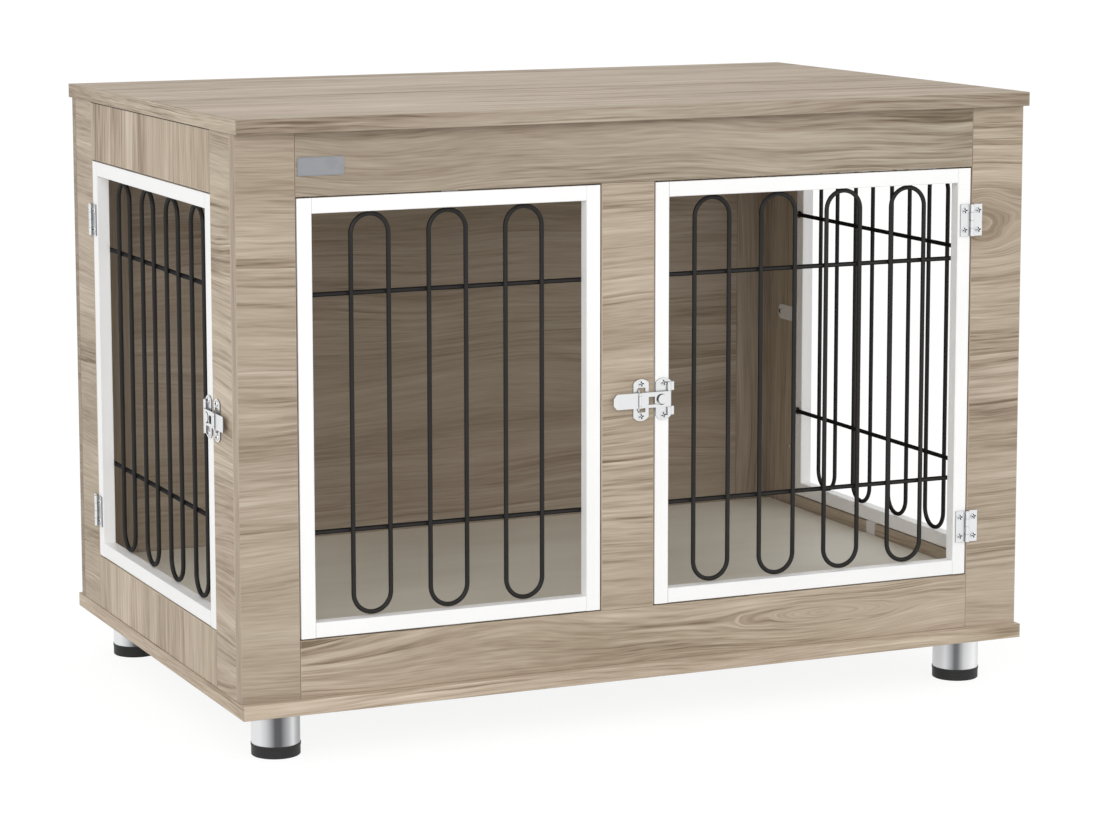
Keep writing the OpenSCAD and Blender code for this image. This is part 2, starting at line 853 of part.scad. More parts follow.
module latch_lever_pin(open_w) {
    color(steel) at_latch(open_w) translate([flap_len, -lever_axis_out, 0])
        cylinder(h = flap_h, d = lever_pin_dia, center = true);
}

// Lever: two knuckles on its pin and a sheet with a bent tip and chamfered corners
module latch_lever(open_w) {
    tip = flap_len + lever_len;
    knuckle_h = (flap_h - flap_knuckle_h) / 2 - part_gap;
    color(nickel) at_latch(open_w) difference() {
        union() {
            intersection() {
                sill(flap_h) polygon([
                    [flap_len + lever_root, flap_out],
                    [tip - lever_tip_len, flap_out],
                    [tip, flap_out + lever_tip_rise],
                    [tip, flap_out + lever_tip_rise + sheet_t],
                    [tip - lever_tip_len, flap_out + sheet_t],
                    [flap_len + lever_root, flap_out + sheet_t]
                ]);
                translate([0, cut_over, 0]) sheet(3 * flap_out + sheet_t) lever_outline(tip);
            }
            for (up = [-1, 1])
                translate([0, 0, up * (flap_h - knuckle_h) / 2]) sill(knuckle_h) {
                    translate([flap_len, lever_axis_out]) circle(d = lever_barrel_dia);
                    translate([flap_len, flap_out]) square([2 * lever_root, sheet_t]);
                }
        }
        pin_hole(lever_axis_out, flap_len, lever_pin_dia + 2 * running_fit);
    }
}

module lever_outline(tip) {
    half = flap_h / 2;
    polygon([
        [flap_len, -half], [tip - lever_corner, -half], [tip, -half + lever_corner],
        [tip, half - lever_corner], [tip - lever_corner, half], [flap_len, half]
    ]);
}

module front_latch_keeper() {
    at_front_hinges() latch_keeper(door_open_w);
}

module front_latch_plate() {
    at_front_hinges() latch_plate(door_open_w);
}

module front_latch_flap_pin() {
    at_front_hinges() latch_flap_pin(door_open_w);
}

module front_latch_flap() {
    at_front_hinges() latch_flap(door_open_w);
}

module front_latch_lever_pin() {
    at_front_hinges() latch_lever_pin(door_open_w);
}

module front_latch_lever() {
    at_front_hinges() latch_lever(door_open_w);
}

module side_latch_keeper() {
    at_side_hinges() latch_keeper(side_open_w);
}

module side_latch_plate() {
    at_side_hinges() latch_plate(side_open_w);
}

module side_latch_flap_pin() {
    at_side_hinges() latch_flap_pin(side_open_w);
}

module side_latch_flap() {
    at_side_hinges() latch_flap(side_open_w);
}

module side_latch_lever_pin() {
    at_side_hinges() latch_lever_pin(side_open_w);
}

module side_latch_lever() {
    at_side_hinges() latch_lever(side_open_w);
}

// Legs, from the ground up
module at_legs() {
    for (x = [-1, 1], y = [-1, 1])
        translate([x * (board_w / 2 - leg_in_side), y * (board_d / 2 - leg_in_front), 0]) children();
}

module leg_tubes() {
    color(steel) at_legs() difference() {
        translate([0, 0, foot_h]) cylinder(h = leg_h - foot_h, d = leg_dia);
        translate([0, 0, foot_h - cut_over])
            cylinder(h = leg_h - foot_h - leg_disc_t + cut_over, d = leg_dia - 2 * leg_wall);
        cylinder(h = leg_h + cut_over, d = leg_bolt_dia + 2 * fixed_fit);
    }
}

// Foot with an eased lower edge, a rim round its top and a spigot in the tube
module leg_feet() {
    r = leg_dia / 2 + foot_step;
    spigot_r = leg_dia / 2 - leg_wall - fixed_fit;
    side_r = r - foot_rim_step;
    rim_z = foot_h - foot_rim_h;
    color(foot_black) at_legs() rotate_extrude() polygon([
        [0, 0], [side_r - foot_ease, 0], [side_r, foot_ease], [side_r, rim_z - foot_rim_step],
        [r, rim_z], [r, foot_h], [spigot_r, foot_h],
        [spigot_r, foot_h + spigot_h], [0, foot_h + spigot_h]
    ]);
}

module leg_bolts() {
    disc_z = leg_h - leg_disc_t;
    color(steel) at_legs() {
        translate([0, 0, disc_z - leg_bolt_head_h])
            cylinder(h = leg_bolt_head_h, d = leg_bolt_head_w / cos(30), $fn = 6);
        translate([0, 0, disc_z]) cylinder(h = leg_disc_t + leg_bolt_grip, d = leg_bolt_dia);
    }
}

// Screws that stay with the carcass, and those of each door
module crate_screws() {
    color(nickel) {
        at_front_hinges() at_hinge_screws(front_hinge_heights, -1) fixing_screw();
        at_front_hinges() at_plate_screws(door_open_w, keeper_mid) fixing_screw();
        at_side_hinges() at_hinge_screws(side_hinge_heights, -1) fixing_screw();
        at_side_hinges() at_plate_screws(side_open_w, keeper_mid) fixing_screw();
        at_front_window() at_bracket_screws(window_open_w) fixing_screw();
        at_right_window() at_bracket_screws(side_open_w, side_bracket_shift) fixing_screw();
        at_front_window() at_eyelet_screws(window_open_w) eyelet_screw();
        at_right_window() at_eyelet_screws(side_open_w) eyelet_screw();
    }
}

module front_door_screws() {
    color(nickel) {
        at_front_hinges() at_hinge_screws(front_hinge_heights, 1) fixing_screw();
        at_front_hinges() at_plate_screws(door_open_w, plate_screw_at) fixing_screw();
        at_front_door() at_eyelet_screws(door_open_w) eyelet_screw();
    }
}

module side_door_screws() {
    color(nickel) {
        at_side_hinges() at_hinge_screws(side_hinge_heights, 1) fixing_screw();
        at_side_hinges() at_plate_screws(side_open_w, plate_screw_at) fixing_screw();
        at_side_door() at_eyelet_screws(side_open_w) eyelet_screw();
    }
}

top_board();
base_board();
back_panel();
floor_panel();
floor_bearers();
front_left_post();
front_right_post();
front_center_stile();
front_top_rail();
front_bottom_rail();
left_front_post();
left_rear_post();
left_top_rail();
left_bottom_rail();
right_front_post();
right_rear_post();
right_top_rail();
right_bottom_rail();
front_window_stiles();
front_window_rails();
front_window_grille();
front_window_brackets();
right_window_stiles();
right_window_rails();
right_window_grille();
right_window_brackets();
front_door_stiles();
front_door_rails();
front_door_grille();
side_door_stiles();
side_door_rails();
side_door_grille();
front_hinge_post_leaves();
front_hinge_door_leaves();
front_hinge_pins();
side_hinge_post_leaves();
side_hinge_door_leaves();
side_hinge_pins();
front_latch_keeper();
front_latch_plate();
front_latch_flap_pin();
front_latch_flap();
front_latch_lever_pin();
front_latch_lever();
side_latch_keeper();
side_latch_plate();
side_latch_flap_pin();
side_latch_flap();
side_latch_lever_pin();
side_latch_lever();
leg_tubes();
leg_feet();
leg_bolts();
crate_screws();
front_door_screws();
side_door_screws();
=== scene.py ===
import math

import bmesh
import bpy
from mathutils import Matrix, Vector


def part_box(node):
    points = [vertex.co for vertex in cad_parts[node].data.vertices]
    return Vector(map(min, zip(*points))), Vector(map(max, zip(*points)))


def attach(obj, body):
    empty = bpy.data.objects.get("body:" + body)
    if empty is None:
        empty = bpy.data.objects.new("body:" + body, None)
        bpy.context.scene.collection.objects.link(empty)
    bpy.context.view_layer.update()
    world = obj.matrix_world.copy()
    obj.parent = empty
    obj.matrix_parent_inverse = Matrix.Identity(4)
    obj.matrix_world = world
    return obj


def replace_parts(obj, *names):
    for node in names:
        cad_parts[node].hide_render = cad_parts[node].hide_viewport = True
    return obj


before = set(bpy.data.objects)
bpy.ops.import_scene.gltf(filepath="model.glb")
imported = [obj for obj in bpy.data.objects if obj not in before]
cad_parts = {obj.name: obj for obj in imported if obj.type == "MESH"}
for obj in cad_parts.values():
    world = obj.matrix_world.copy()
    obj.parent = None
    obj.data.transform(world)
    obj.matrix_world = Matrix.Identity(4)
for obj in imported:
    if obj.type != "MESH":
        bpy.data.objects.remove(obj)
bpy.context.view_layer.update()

MM = 0.001
# Points closer than this are one
WELD = 1e-6
# Outer faces of the boards below the top
FRONT = -280 * MM
LEFT = -449 * MM
RIGHT = 449 * MM
CARCASS_TOP = 635 * MM
# Open joint above the left top rail
SIDE_GAP = 1.3 * MM
X_AXIS, Y_AXIS, Z_AXIS = range(3)


# Shader building

def paint(red, green, blue):
    """A colour as the eye reads it, 0 to 255, turned into the linear colour a shader takes."""
    def linear(level):
        level /= 255
        return level / 12.92 if level <= 0.04045 else ((level + 0.055) / 1.055) ** 2.4
    return (linear(red), linear(green), linear(blue), 1.0)


def add(tree, kind, **settings):
    """A new shader node with its settings."""
    made = tree.nodes.new("ShaderNode" + kind)
    for setting, value in settings.items():
        setattr(made, setting, value)
    return made


def feed(tree, socket, value):
    """Links a socket into another, or sets it to a plain value."""
    if isinstance(value, bpy.types.NodeSocket):
        tree.links.new(value, socket)
    else:
        socket.default_value = value


def calc(tree, operation, *values, clamp=False):
    """One step of arithmetic on values or sockets."""
    made = add(tree, "Math", operation=operation, use_clamp=clamp)
    for socket, value in zip(made.inputs, values):
        feed(tree, socket, value)
    return made.outputs[0]


def calc_vector(tree, operation, *values):
    """One step of arithmetic on vectors."""
    made = add(tree, "VectorMath", operation=operation)
    for socket, value in zip(made.inputs, values):
        feed(tree, socket, value)
    return made.outputs[0]


def dot(tree, vector, direction):
    """How far a vector points in a direction."""
    return calc_vector(tree, "DOT_PRODUCT", vector, direction).node.outputs["Value"]


def parts_of(tree, vector):
    """The x, y and z of a vector."""
    made = add(tree, "SeparateXYZ")
    feed(tree, made.inputs[0], vector)
    return made.outputs


def joined(tree, x, y, z):
    """A vector of three values."""
    made = add(tree, "CombineXYZ")
    for socket, value in zip(made.inputs, (x, y, z)):
        feed(tree, socket, value)
    return made.outputs[0]


def cloud(tree, vector, detail=2.0, roughness=0.5):
    """Soft noise from 0 to 1, one swell to a unit of the vector."""
    made = add(tree, "TexNoise")
    feed(tree, made.inputs["Vector"], vector)
    made.inputs["Scale"].default_value = 1.0
    made.inputs["Detail"].default_value = detail
    made.inputs["Roughness"].default_value = roughness
    return made.outputs[0]


def fade(tree, value, low, high):
    """0 below low, 1 above high, and smooth between."""
    made = add(tree, "MapRange", interpolation_type="SMOOTHSTEP")
    for socket, given in zip(made.inputs, (value, low, high)):
        feed(tree, socket, given)
    return made.outputs[0]


def fade_out(tree, value, low, high):
    """1 below low, 0 above high, and smooth between."""
    return calc(tree, "SUBTRACT", 1.0, fade(tree, value, low, high))


def centred(tree, value):
    """A value from 0 to 1 moved to lie about 0."""
    return calc(tree, "SUBTRACT", value, 0.5)


def pick(tree, share, first, second, kind="RGBA", blend="MIX"):
    """The first value where share is 0, the second where it is 1."""
    made = add(tree, "Mix", data_type=kind, clamp_factor=True)
    if kind == "RGBA":
        made.blend_type = blend
    socket_type = "VALUE" if kind == "FLOAT" else kind
    sockets = [s for s in made.inputs if s.type == socket_type]
    feed(tree, made.inputs[0], share)
    feed(tree, sockets[-2], first)
    feed(tree, sockets[-1], second)
    return next(s for s in made.outputs if s.enabled)


def shades(tree, value, stops):
    """Runs a value from 0 to 1 through colours at the given places."""
    made = add(tree, "ValToRGB")
    feed(tree, made.inputs[0], value)
    band = made.color_ramp.elements
    while len(band) < len(stops):
        band.new(0.5)
    for element, (place, colour) in zip(band, stops):
        element.position = place
        element.color = colour
    return made.outputs[0]


class Effect:
    """A node group under way: named inputs, named outputs, and what lies between."""

    def __init__(self, name, inputs, outputs):
        self.tree = bpy.data.node_groups.new(name, "ShaderNodeTree")
        for label, (kind, value) in inputs.items():
            socket = self.tree.interface.new_socket(
                label, in_out="INPUT", socket_type="NodeSocket" + kind)
            socket.default_value = value
        for label, kind in outputs.items():
            self.tree.interface.new_socket(label, in_out="OUTPUT", socket_type="NodeSocket" + kind)
        self.given = self.tree.nodes.new("NodeGroupInput").outputs
        self.result = self.tree.nodes.new("NodeGroupOutput").inputs

    def give(self, **values):
        """Links the outputs."""
        for label, value in values.items():
            feed(self.tree, self.result[label], value)


def use(tree, effect, **values):
    """Places a node group in a material and sets or links its inputs."""
    made = add(tree, "Group", node_tree=effect)
    for label, value in values.items():
        feed(tree, made.inputs[label.replace("_", " ")], value)
    return made.outputs


# Effects shared by several finishes

def make_board_face():
    """Turns a point on a board into grain, x along it and y across it. On the narrow faces the grain
    runs along the edge band. Side and End are 1 on the long and the short narrow faces."""
    effect = Effect(
        "board_face",
        {"Point": ("Vector", (0, 0, 0)), "Normal": ("Vector", (0, 0, 1)),
         "Half Size": ("Vector", (1, 1, 1)), "Across": ("Float", 0.0)},
        {"Grain": "Vector", "Edge": "Float", "Side": "Float", "End": "Float"})
    tree, given = effect.tree, effect.given
    facing = calc_vector(tree, "ABSOLUTE", given["Normal"])
    facing_long, facing_wide, _ = parts_of(tree, facing)
    long, wide, thick = parts_of(tree, given["Point"])
    with_board = joined(tree, long, wide, thick)
    over_board = joined(tree, wide, long, thick)
    face = pick(tree, given["Across"], with_board, over_board, "VECTOR")
    on_side = calc(tree, "GREATER_THAN", facing_wide, 0.5)
    on_end = calc(tree, "GREATER_THAN", facing_long, 0.5)
    face = pick(tree, on_side, face, joined(tree, long, thick, wide), "VECTOR")
    face = pick(tree, on_end, face, joined(tree, wide, thick, long), "VECTOR")
    off_middle = calc_vector(tree, "ABSOLUTE", given["Point"])
    inside = calc_vector(tree, "SUBTRACT", given["Half Size"], off_middle)
    inside = calc_vector(tree, "ADD", inside, facing)
    to_end, to_side, to_face = parts_of(tree, inside)
    edge = calc(tree, "MINIMUM", calc(tree, "MINIMUM", to_end, to_side), to_face)
    effect.give(Grain=face, Edge=edge, Side=on_side, End=on_end)
    return effect.tree


# Wood print: how often its swells come in a metre, along and across the grain and into the board
SWELL = (2.4, 7.0, 7.0)
RIPPLE = (13.0, 34.0, 34.0)
DRIFT = (2.0, 9.0, 9.0)
# The same for its layers that follow the bent grain, with the noise's detail and roughness
STREAKS = (2.2, 58.0, 5.0, 0.68)
THIN_LINES = (8.0, 300.0, 2.0, 0.6)
FIBRE = (26.0, 620.0, 1.0, 0.5)
BROAD_BANDS = (1.6, 20.0, 1.0, 0.5)
DENSE_PATCHES = (2.6, 13.0, 1.0, 0.5)
# How strongly each layer shows, the first of a pair in open grain and the second added in dense
STREAK_SHARES = (0.72, 0.7)
THIN_LINE_SHARES = (0.5, 0.9)
RING_SHARES = (0.2, 0.8)
BROAD_SHARE = 0.85
FIBRE_SHARE = 0.6
DARK_LINE_SHARE = 0.32
LIGHT_LINE_SHARE = -0.28
# Rings in a metre across the grain, how uneven they are in rings, and how often they come and go
RINGS_PER_METRE = 78.0
RING_SPREAD = 5.0
RING_WAVES_PER_METRE = 26.0
RING_BREAKS_PER_METRE = 5.5
# How far the ripple pushes a knot's outline, in half lengths, and how far the rings run on into it
KNOT_WAVER = 1.2
KNOT_DEPTH = 22 * MM
# From the palest streak to the darkest line
PRINT_COLOURS = ((0.0, (214, 200, 181)), (0.5, (186, 170, 151)), (0.8, (157, 140, 120)), (1.0, (128, 111, 93)))
# Reach from a board's edge of the paler rim, partly wear and partly a painted highlight on the eased edge,
# and of the painted shade along the seam
WEAR_AND_HIGHLIGHT_EDGE = (0.3 * MM, 1.6 * MM)
SEAM_SHADE_EDGE = (0.1 * MM, 0.5 * MM)


def round_a_knot(tree, given, ripple):
    """What a knot does to the grain: how far it pushes the lines aside, how clearly its rings show,
    and 1 over its middle."""
    knot_along, knot_across, knot_half = parts_of(tree, given["Knot"])
    face_along, face_across, _ = parts_of(tree, given["Grain"])
    half = calc(tree, "MAXIMUM", knot_half, MM)
    from_knot = calc(tree, "SUBTRACT", face_across, knot_across)
    off_along = calc(tree, "DIVIDE", calc(tree, "SUBTRACT", face_along, knot_along),
                     calc(tree, "MULTIPLY", half, given["Knot Stretch"]))
    off_along = calc(tree, "MULTIPLY_ADD", centred(tree, ripple), KNOT_WAVER, off_along)
    off_across = calc(tree, "DIVIDE", from_knot, half)
    off_knot = calc(tree, "ADD", calc(tree, "MULTIPLY", off_along, off_along),
                    calc(tree, "MULTIPLY", off_across, off_across))
    round_it = calc(tree, "DIVIDE", from_knot, calc(tree, "MAXIMUM", off_knot, 1.0))
    into_it = calc(tree, "MAXIMUM", calc(tree, "SUBTRACT", 1.0, calc(tree, "SQRT", off_knot)), 0.0)
    into_it = calc(tree, "MULTIPLY", into_it, KNOT_DEPTH)
    has_knot = calc(tree, "GREATER_THAN", knot_half, 0.0)
    aside = calc(tree, "MULTIPLY", calc(tree, "ADD", round_it, into_it), has_knot)
    rings = calc(tree, "MULTIPLY", fade_out(tree, off_knot, 0.8, 5.0),
                 calc(tree, "MULTIPLY", has_knot, given["Knot Share"]))
    core = calc(tree, "MULTIPLY", fade_out(tree, off_knot, 0.6, 1.1), has_knot)
    return aside, rings, core


def ring_lines(tree, along, bent, depth, seed, dense, knot_rings):
    """The rings' dark and light lines, and how clearly each ring shows."""
    uneven = cloud(tree, joined(tree, 0.0, calc(tree, "MULTIPLY", bent, RING_WAVES_PER_METRE), depth), 0.0)
    turns = calc(tree, "ADD", calc(tree, "MULTIPLY", bent, RINGS_PER_METRE),
                 calc(tree, "MULTIPLY", uneven, RING_SPREAD))
    past_ring = calc(tree, "FRACT", turns)
    dark_line = calc(tree, "MULTIPLY", fade(tree, past_ring, 0.0, 0.05), fade_out(tree, past_ring, 0.03, 0.40))
    light_line = fade(tree, past_ring, 0.72, 0.95)
    ring_number = calc(tree, "FLOOR", calc(tree, "ADD", turns, 0.3))
    on_ring = joined(tree, calc(tree, "MULTIPLY", along, RING_BREAKS_PER_METRE),
                     calc(tree, "MULTIPLY", ring_number, 5.7), seed)
    clear = fade(tree, cloud(tree, on_ring, 1.0), 0.42, 0.70)
    clear = calc(tree, "MULTIPLY", clear, in_dense(tree, dense, RING_SHARES))
    return dark_line, light_line, calc(tree, "MAXIMUM", clear, knot_rings)


def in_dense(tree, dense, shares):
    """How strongly a layer shows, from open to dense grain."""
    in_open, added = shares
    return calc(tree, "MULTIPLY_ADD", dense, added, in_open)


def make_laminate_print():
    """Greige wood print: streaks of many widths along the grain, and ring lines that come and go over a board.
    Knot gives the place along and across of an oval that the rings run round, and its half width, where
    0 means none. Knot Stretch is the oval's length over its width, Knot Share how clearly its rings show,
    and Knot Core how much darker its middle is."""
    effect = Effect(
        "laminate_print",
        {"Grain": ("Vector", (0, 0, 0)), "Seed": ("Float", 0.0),
         "Figure": ("Float", 0.05), "Ripple": ("Float", 0.0025),
         "Knot": ("Vector", (0, 0, 0)), "Knot Stretch": ("Float", 1.35),
         "Knot Share": ("Float", 0.6), "Knot Core": ("Float", 0.0),
         "Edge": ("Float", 1.0), "Contrast": ("Float", 1.0), "Tone": ("Float", 1.0)},
        {"Color": "Color", "Height": "Float", "Fibre": "Float"})
    tree, given = effect.tree, effect.given
    seed = given["Seed"]
    shift = joined(tree, calc(tree, "MULTIPLY", seed, 1.73), calc(tree, "MULTIPLY", seed, 0.61),
                   calc(tree, "MULTIPLY", seed, 2.9))
    place = calc_vector(tree, "ADD", given["Grain"], shift)
    along, across, depth = parts_of(tree, place)
    swell = cloud(tree, calc_vector(tree, "MULTIPLY", place, SWELL), 1.0)
    ripple = cloud(tree, calc_vector(tree, "MULTIPLY", place, RIPPLE), 2.0)
    aside, knot_rings, core = round_a_knot(tree, given, ripple)
    bent = calc(tree, "MULTIPLY_ADD", centred(tree, swell), given["Figure"], across)
    bent = calc(tree, "MULTIPLY_ADD", centred(tree, ripple), given["Ripple"], bent)
    bent = calc(tree, "SUBTRACT", bent, aside)
    bent_place = joined(tree, along, bent, depth)

    def layer(lengthwise, crosswise, detail, roughness):
        scale = (lengthwise, crosswise, crosswise)
        return cloud(tree, calc_vector(tree, "MULTIPLY", bent_place, scale), detail, roughness)

    dense = fade(tree, layer(*DENSE_PATCHES), 0.40, 0.60)
    fibre = layer(*FIBRE)
    dark_line, light_line, clear_ring = ring_lines(tree, along, bent, depth, seed, dense, knot_rings)
    tone = calc(tree, "MULTIPLY", centred(tree, layer(*STREAKS)), in_dense(tree, dense, STREAK_SHARES))
    for value, share in (
            (centred(tree, layer(*BROAD_BANDS)), BROAD_SHARE),
            (calc(tree, "MULTIPLY", dark_line, clear_ring), DARK_LINE_SHARE),
            (calc(tree, "MULTIPLY", light_line, clear_ring), LIGHT_LINE_SHARE),
            (centred(tree, layer(*THIN_LINES)), in_dense(tree, dense, THIN_LINE_SHARES)),
            (centred(tree, fibre), FIBRE_SHARE),
            (core, given["Knot Core"])):
        tone = calc(tree, "MULTIPLY_ADD", value, share, tone)
    tone = calc(tree, "MULTIPLY_ADD", tone, given["Contrast"], 0.5, clamp=True)

    colour = shades(tree, tone, [(at, paint(*ink)) for at, ink in PRINT_COLOURS])
    drift = cloud(tree, calc_vector(tree, "MULTIPLY", place, DRIFT), 1.0)
    hue = shades(tree, drift, [(0.35, (1.01, 0.995, 1.0, 1.0)), (0.65, (0.995, 1.0, 0.975, 1.0))])
    colour = pick(tree, 1.0, colour, hue, blend="MULTIPLY")
    # Paler rim along the edges: partly wear, partly a painted highlight on the eased edge.
    wear_and_highlight = fade_out(tree, given["Edge"], *WEAR_AND_HIGHLIGHT_EDGE)
    colour = pick(tree, calc(tree, "MULTIPLY", wear_and_highlight, 0.25), colour, paint(216, 202, 182))
    # Painted shade along the edges, where boards meet.
    painted_seam_shade = fade_out(tree, given["Edge"], *SEAM_SHADE_EDGE)
    colour = pick(tree, calc(tree, "MULTIPLY", painted_seam_shade, 0.6), colour, paint(88, 74, 58))
    level = joined(tree, given["Tone"], given["Tone"], given["Tone"])
    colour = pick(tree, 1.0, colour, level, blend="MULTIPLY")
    height = calc(tree, "SUBTRACT", calc(tree, "MULTIPLY", fibre, 0.6), calc(tree, "MULTIPLY", dark_line, 0.5))
    effect.give(Color=colour, Height=height, Fibre=fibre)
    return effect.tree


# Swells in a metre of the coats' clouds and of the metals' smudges
SKIN_CLOUDS = (9.0, 9.0, 9.0)
SMUDGES = (55.0, 55.0, 55.0)
SPECKS_TO_A_GRAIN = (3.1, 3.1, 3.1)


def make_skin():
    """The slight unevenness of a coat of lacquer, powder or moulded plastic."""
    effect = Effect(
        "coat_skin",
        {"Point": ("Vector", (0, 0, 0)), "Grain Size": ("Float", 0.002)},
        {"Cloud": "Float", "Speck": "Float", "Height": "Float"})
    tree, given = effect.tree, effect.given
    grains = calc_vector(tree, "SCALE", given["Point"])
    feed(tree, grains.node.inputs["Scale"], calc(tree, "DIVIDE", 1.0, given["Grain Size"]))
    orange_peel = cloud(tree, grains, 2.0)
    specks = cloud(tree, calc_vector(tree, "MULTIPLY", grains, SPECKS_TO_A_GRAIN), 1.0)
    broad = cloud(tree, calc_vector(tree, "MULTIPLY", given["Point"], SKIN_CLOUDS), 2.0)
    effect.give(Cloud=broad, Speck=fade(tree, specks, 0.62, 0.74), Height=orange_peel)
    return effect.tree


def make_brushing():
    """Fine lines left on metal by brushing or drawing, along the direction that Stretch scales least."""
    effect = Effect(
        "brushed_lines",
        {"Point": ("Vector", (0, 0, 0)), "Stretch": ("Vector", (40, 40, 2000))},
        {"Lines": "Float", "Smudge": "Float"})
    tree, given = effect.tree, effect.given
    lines = cloud(tree, calc_vector(tree, "MULTIPLY", given["Point"], given["Stretch"]), 3.0, 0.65)
    smudge = cloud(tree, calc_vector(tree, "MULTIPLY", given["Point"], SMUDGES), 3.0, 0.6)
    effect.give(Lines=lines, Smudge=smudge)
    return effect.tree


BOARD_FACE = make_board_face()
LAMINATE_PRINT = make_laminate_print()
COAT_SKIN = make_skin()
BRUSHED_LINES = make_brushing()


# Finishes

# Width of the upright grain at the back panel's ends
BACK_STRIP_W = 63 * MM
# Width of a dark joint line in the print, and of the step into the painted shade of an open joint
JOINT_LINE = (0.2 * MM, 0.6 * MM)
JOINT_STEP = 0.4 * MM
# Depth behind a carcass face from which a grille's wires are its cross wires
CROSS_WIRE_FROM = 14.3 * MM
CROSS_WIRE_STEP = 0.2 * MM
# Between these shares of facing straight out, a stamped sheet's face turns into the painted shade of its cut
# edges and roll sides
EDGE_SHADE_FACING = (0.15, 0.3)
# Directions in which brushed lines run: swells in a metre along x, y and z
BRUSHED = (300, 300, 90)
DRAWN_PIN = (60, 60, 900)
DRAWN_PLATE = (60, 60, 1500)
DRAWN_TUBE = (45, 45, 1600)
# Level direction across which the painted reflection on the leg tubes changes
TUBE_REFLECTION_ACROSS = (0.9205, -0.3907, 0.0)
# Level direction that the painted highlight line along the coated wires faces; their sides get painted shade
WIRE_HIGHLIGHT_FACING = (-0.3907, -0.9205, 0.0)


def new_material(name):
    """A material with its node tree and the sockets of its surface."""
    material = bpy.data.materials.new(name)
    material.use_nodes = True
    tree = material.node_tree
    shader = tree.nodes["Principled BSDF"]
    return material, tree, shader.inputs


def put(material, *nodes):
    """Gives CAD nodes their material."""
    for name in nodes:
        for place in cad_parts[name].material_slots:
            place.material = material


def relief(tree, surface, height, strength, distance):
    """Raises a surface by a height map, as a bump in the shading."""
    bump = add(tree, "Bump")
    bump.inputs["Strength"].default_value = strength
    bump.inputs["Distance"].default_value = distance
    feed(tree, bump.inputs["Height"], height)
    feed(tree, surface["Normal"], bump.outputs[0])


def board_axes(node):
    """Centre, half size and turn of a board, with its length, width and thickness laid on x, y and z."""
    low, high = (Vector(corner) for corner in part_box(node))
    size = high - low
    order = sorted(range(3), key=lambda axis: -size[axis])
    rows = [Vector((axis == 0, axis == 1, axis == 2)) for axis in order]
    if Matrix(rows).determinant() < 0:
        rows[2] = -rows[2]
    turn = Matrix(rows)
    half = Vector([size[axis] / 2 for axis in order])
    return (low + high) / 2, half, turn


def turned_point(tree, turn, centre):
    """Object coordinates with the pattern centred and turned onto a piece, and the normal turned with them."""
    where = add(tree, "TexCoord")
    point = add(tree, "Mapping", vector_type="POINT")
    point.inputs["Rotation"].default_value = turn.to_euler("XYZ")
    point.inputs["Location"].default_value = -(turn @ centre)
    feed(tree, point.inputs["Vector"], where.outputs["Object"])
    normal = add(tree, "Mapping", vector_type="POINT")
    normal.inputs["Rotation"].default_value = turn.to_euler("XYZ")
    feed(tree, normal.inputs["Vector"], where.outputs["Normal"])
    return point.outputs[0], normal.outputs[0]


def laminate_board(node, seed, across=False, tone=1.0, figure=0.035, ripple=0.0025, contrast=1.0,
                   knot=(0, 0, 0), knot_stretch=1.35, knot_share=0.6, knot_core=0.0, bands=(1.0, 1.0),
                   gap_over=None, turned_ends=None):
    """Laminate for one board, with its own stretch of the print. Its tone, and the bands, the tones of its long
    and short narrow faces as shares of the board's, are partly its own colour and partly painted light and shade
    for the way each face looks. Above gap_over lies painted shade, the dark inside an open joint.
    Over the length turned_ends at both ends the grain stands upright."""
    material, tree, surface = new_material("laminate_" + node)
    centre, half, turn = board_axes(node)
    point, normal = turned_point(tree, turn, centre)
    face = use(tree, BOARD_FACE, Point=point, Normal=normal, Half_Size=half, Across=float(across))
    grain = face["Grain"]
    if turned_ends is not None:
        long, wide, thick = parts_of(tree, grain)
        off_middle = calc(tree, "ABSOLUTE", parts_of(tree, point)[0])
        from_joint = calc(tree, "SUBTRACT", off_middle, half.x - turned_ends)
        at_end = calc(tree, "GREATER_THAN", from_joint, 0.0)
        grain = pick(tree, at_end, grain, joined(tree, wide, long, thick), "VECTOR")
    # The narrow faces' tones are partly painted light and shade for the way they face.
    side_tone, end_tone = bands
    face_tone = pick(tree, face["End"], tone, tone * end_tone, "FLOAT")
    face_tone = pick(tree, face["Side"], face_tone, tone * side_tone, "FLOAT")
    wood = use(tree, LAMINATE_PRINT, Grain=grain, Edge=face["Edge"], Seed=seed, Tone=face_tone,
               Figure=figure, Ripple=ripple, Knot=knot, Knot_Stretch=knot_stretch, Knot_Share=knot_share,
               Knot_Core=knot_core, Contrast=contrast)
    colour = wood["Color"]
    if turned_ends is not None:
        joint = fade_out(tree, calc(tree, "ABSOLUTE", from_joint), *JOINT_LINE)
        colour = pick(tree, calc(tree, "MULTIPLY", joint, 0.5), colour, paint(66, 52, 42))
    # Painted shade inside the open joint, above gap_over.
    if gap_over is not None:
        height = parts_of(tree, add(tree, "TexCoord").outputs["Object"])[Z_AXIS]
        colour = pick(tree, fade(tree, height, gap_over, gap_over + JOINT_STEP), colour, paint(40, 32, 26))
    feed(tree, surface["Base Color"], colour)
    feed(tree, surface["Roughness"], calc(tree, "MULTIPLY_ADD", wood["Fibre"], 0.16, 0.48))
    surface["Specular IOR Level"].default_value = 0.18
    relief(tree, surface, wood["Height"], 0.3, 0.2 * MM)
    put(material, node)


